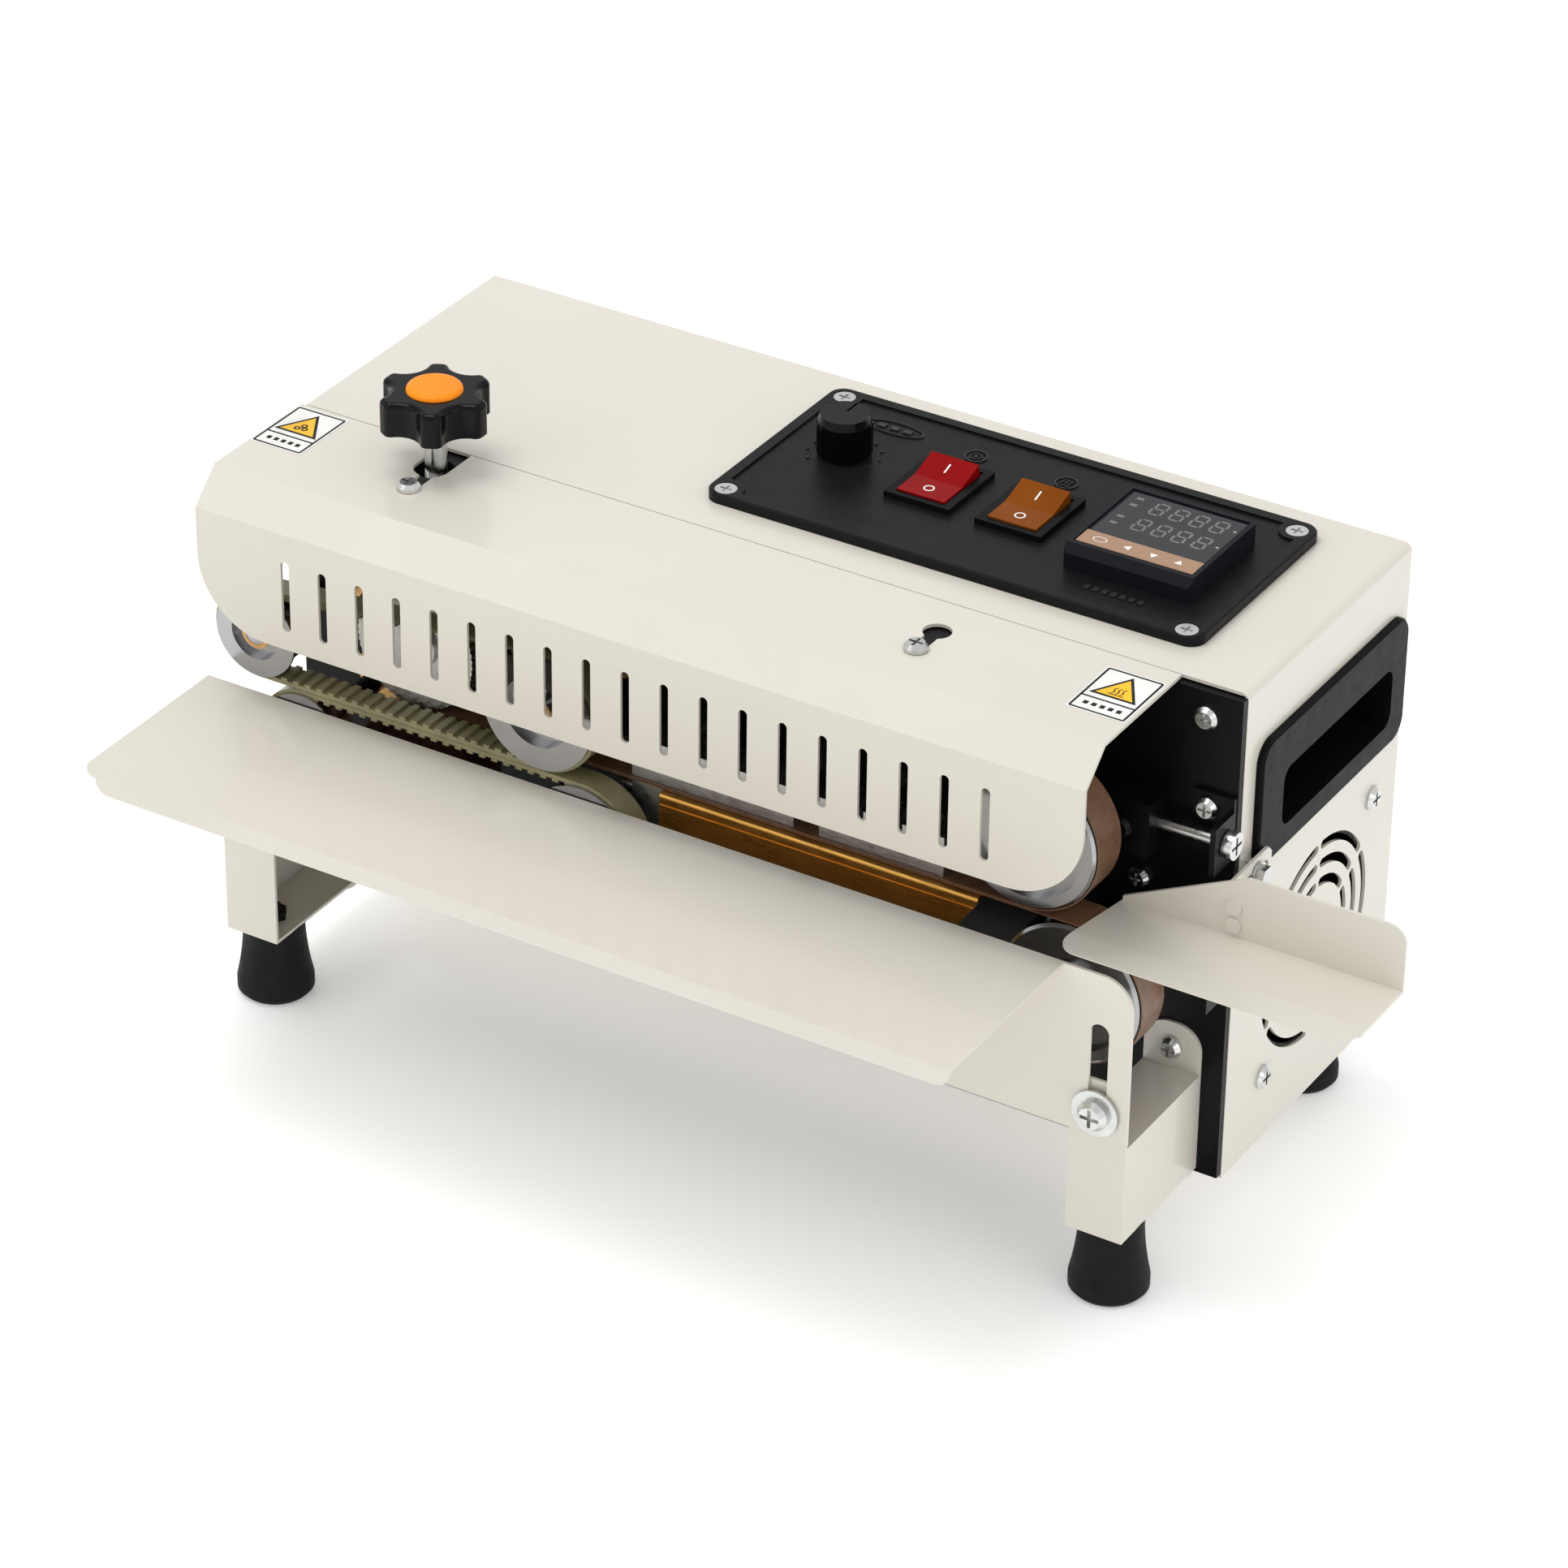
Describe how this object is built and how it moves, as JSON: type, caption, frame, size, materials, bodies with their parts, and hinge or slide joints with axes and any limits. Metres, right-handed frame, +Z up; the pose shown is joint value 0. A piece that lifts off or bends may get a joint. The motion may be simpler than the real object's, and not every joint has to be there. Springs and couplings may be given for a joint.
{
  "type": "continuous band sealer",
  "caption": "Benchtop continuous band sealer: cream steel housing, belt-and-roller sealing line under a slotted cover, height-adjustable work table, bag guide tray and top control panel.",
  "frame": {"origin": "on the ground under the centre of the whole machine's bounding box", "axes": "+X towards the bag guide tray at the entry end, +Y towards the rear panel, away from the operator, +Z up"},
  "size_m": [0.448, 0.252, 0.2476],
  "materials": {
    "cream_paint": "satin powder coat, cream white, slight orange peel",
    "black_plate": "black satin paint",
    "panel_black": "fine textured near-black plastic",
    "knob_black": "glossy black moulding",
    "knob_orange": "glossy orange cap",
    "red_rocker": "glossy red",
    "amber_rocker": "glossy amber",
    "black_plastic": "black moulded plastic",
    "controller_black": "dark bezel plastic",
    "zinc": "bright zinc plate",
    "steel": "ground steel",
    "chrome_wheel": "polished, turned face",
    "alloy": "machined aluminium",
    "gold_rail": "gold-anodised look, satin",
    "bronze": "sintered bronze bush",
    "guide_belt": "translucent olive-yellow polyurethane",
    "seal_belt": "brown coated glass-cloth belt",
    "transfer_rubber": "black drive-belt rubber",
    "foot_rubber": "black moulded rubber",
    "roller_rubber": "red-brown silicone rubber",
    "board_green": "green circuit board with parts",
    "motor_grey": "grey painted motor body",
    "fan_black": "black fan plastic"
  },
  "bodies": {
    "machine": {"housing_shell": "cream_paint", "rear_panel": "cream_paint", "base_plate": "cream_paint", "front_plate": "black_plate", "front_screws": "zinc", "housing_screws": "zinc", "control_panel": "panel_black", "panel_screws": "zinc", "speed_potentiometer": "zinc", "switch_bodies": "black_plastic", "temperature_controller": "controller_black", "handle_right": "black_plastic", "handle_left": "black_plastic", "support_arm_left": "cream_paint", "support_arm_right": "cream_paint", "table_bolts": "zinc", "front_feet": "foot_rubber", "rear_feet": "foot_rubber", "upper_sealing_belt": "seal_belt", "lower_sealing_belt": "seal_belt", "upper_guide_belt": "guide_belt", "lower_guide_belt": "guide_belt", "transfer_belts": "transfer_rubber", "heating_blocks": "alloy", "cooling_blocks": "alloy", "heater_cartridges": "steel", "bag_guide_rail": "gold_rail", "shaft_bearings": "bronze", "press_bracket": "zinc", "press_carriage": "steel", "pressure_spring": "steel", "tension_brackets": "black_plate", "gear_motor": "motor_grey", "control_board": "board_green", "fan_frame": "fan_black", "power_inlet": "black_plastic"},
    "cover": {"front_cover": "cream_paint"},
    "table": {"work_table": "cream_paint"},
    "guide_tray": {"bag_guide_tray": "cream_paint", "tray_bracket": "cream_paint"},
    "thrust": {"thrust_cup": "steel"},
    "pressure_handle": {"pressure_knob": "knob_black", "knob_cap": "knob_orange", "pressure_screw": "zinc"},
    "lower_roller": {"lower_press_roller": "roller_rubber"},
    "upper_roller": {"upper_press_roller": "steel"},
    "upper_exit": {"upper_exit_wheel": "chrome_wheel"},
    "lower_exit": {"lower_exit_wheel": "chrome_wheel"},
    "upper_middle": {"upper_middle_wheel": "chrome_wheel"},
    "lower_middle": {"lower_middle_wheel": "chrome_wheel"},
    "upper_slider": {"upper_tension_block": "black_plate"},
    "lower_slider": {"lower_tension_block": "black_plate"},
    "upper_entry": {"upper_entry_wheel": "chrome_wheel"},
    "lower_entry": {"lower_entry_wheel": "chrome_wheel"},
    "upper_adjuster": {"upper_tension_screw": "zinc"},
    "lower_adjuster": {"lower_tension_screw": "zinc"},
    "fan": {"fan_rotor": "fan_black"},
    "speed_dial": {"speed_knob": "knob_black"},
    "power_switch": {"power_rocker": "red_rocker"},
    "heater_switch": {"heater_rocker": "amber_rocker"}
  },
  "joints": [
    {"name": "cover_slide", "type": "slide", "parent": "machine", "child": "cover", "axis": [0, -1, 0], "range_m": [0, 0.0135]},
    {"name": "table_height", "type": "slide", "parent": "machine", "child": "table", "axis": [0, 0, 1], "range_m": [-0.03, 0.003]},
    {"name": "tray_reach", "type": "slide", "parent": "machine", "child": "guide_tray", "axis": [0, 1, 0], "range_m": [-0.006, 0.002]},
    {"name": "thrust_travel", "type": "slide", "parent": "machine", "child": "thrust", "axis": [0, 0, -1], "range_m": [-0.00075, 0.0043]},
    {"name": "pressure_turn", "type": "hinge", "parent": "thrust", "child": "pressure_handle", "pos_m": [-0.1555, -0.007, 0.24], "axis": [0, 0, -1], "range_deg": [-220, 1260]},
    {"name": "belt_drive", "type": "hinge", "parent": "machine", "child": "lower_roller", "pos_m": [-0.145, -0.006, 0.1132], "axis": [0, -1, 0], "continuous": true},
    {"name": "upper_roller_spin", "type": "hinge", "parent": "machine", "child": "upper_roller", "pos_m": [-0.145, -0.006, 0.1624], "axis": [0, -1, 0], "continuous": true},
    {"name": "upper_exit_spin", "type": "hinge", "parent": "machine", "child": "upper_exit", "pos_m": [-0.2035, -0.006, 0.1555], "axis": [0, -1, 0], "continuous": true},
    {"name": "lower_exit_spin", "type": "hinge", "parent": "machine", "child": "lower_exit", "pos_m": [-0.185, -0.006, 0.1201], "axis": [0, -1, 0], "continuous": true},
    {"name": "upper_middle_spin", "type": "hinge", "parent": "machine", "child": "upper_middle", "pos_m": [-0.0868, -0.006, 0.161], "axis": [0, -1, 0], "continuous": true},
    {"name": "lower_middle_spin", "type": "hinge", "parent": "machine", "child": "lower_middle", "pos_m": [-0.07, -0.006, 0.1146], "axis": [0, -1, 0], "continuous": true},
    {"name": "upper_tension", "type": "slide", "parent": "machine", "child": "upper_slider", "axis": [-1, 0, 0], "range_m": [0, 0.003]},
    {"name": "lower_tension", "type": "slide", "parent": "machine", "child": "lower_slider", "axis": [-1, 0, 0], "range_m": [0, 0.003]},
    {"name": "upper_entry_spin", "type": "hinge", "parent": "upper_slider", "child": "upper_entry", "pos_m": [0.0955, -0.026, 0.1647], "axis": [0, -1, 0], "continuous": true},
    {"name": "lower_entry_spin", "type": "hinge", "parent": "lower_slider", "child": "lower_entry", "pos_m": [0.114, -0.026, 0.1109], "axis": [0, -1, 0], "continuous": true},
    {"name": "upper_adjust", "type": "hinge", "parent": "machine", "child": "upper_adjuster", "pos_m": [0.151, -0.004, 0.1647], "axis": [1, 0, 0], "range_deg": [0, 1085]},
    {"name": "lower_adjust", "type": "hinge", "parent": "machine", "child": "lower_adjuster", "pos_m": [0.151, -0.004, 0.1109], "axis": [1, 0, 0], "range_deg": [0, 1085]},
    {"name": "fan_spin", "type": "hinge", "parent": "machine", "child": "fan", "pos_m": [0.136, 0.0667, 0.089], "axis": [1, 0, 0], "continuous": true},
    {"name": "speed_turn", "type": "hinge", "parent": "machine", "child": "speed_dial", "pos_m": [-0.0385, 0.0703, 0.228], "axis": [0, 0, 1], "range_deg": [-130, 130]},
    {"name": "power_rock", "type": "hinge", "parent": "machine", "child": "power_switch", "pos_m": [0.001, 0.0672, 0.2175], "axis": [-1, 0, 0], "range_deg": [0, 17.19]},
    {"name": "heater_rock", "type": "hinge", "parent": "machine", "child": "heater_switch", "pos_m": [0.0365, 0.0672, 0.2175], "axis": [-1, 0, 0], "range_deg": [0, 17.19]}
  ],
  "couplings": [
    {"joint": "pressure_turn", "follows": "thrust_travel", "rad_per_m": 5026.5},
    {"joint": "upper_roller_spin", "follows": "belt_drive", "ratio": -1},
    {"joint": "upper_exit_spin", "follows": "belt_drive", "ratio": -1.4796},
    {"joint": "lower_exit_spin", "follows": "belt_drive", "ratio": 1.4796},
    {"joint": "upper_middle_spin", "follows": "belt_drive", "ratio": -1.1011},
    {"joint": "lower_middle_spin", "follows": "belt_drive", "ratio": 1.1011},
    {"joint": "upper_entry_spin", "follows": "belt_drive", "ratio": -0.91154},
    {"joint": "lower_entry_spin", "follows": "belt_drive", "ratio": 0.91154},
    {"joint": "upper_adjust", "follows": "upper_tension", "rad_per_m": 6283.2},
    {"joint": "lower_adjust", "follows": "lower_tension", "rad_per_m": 6283.2}
  ]
}
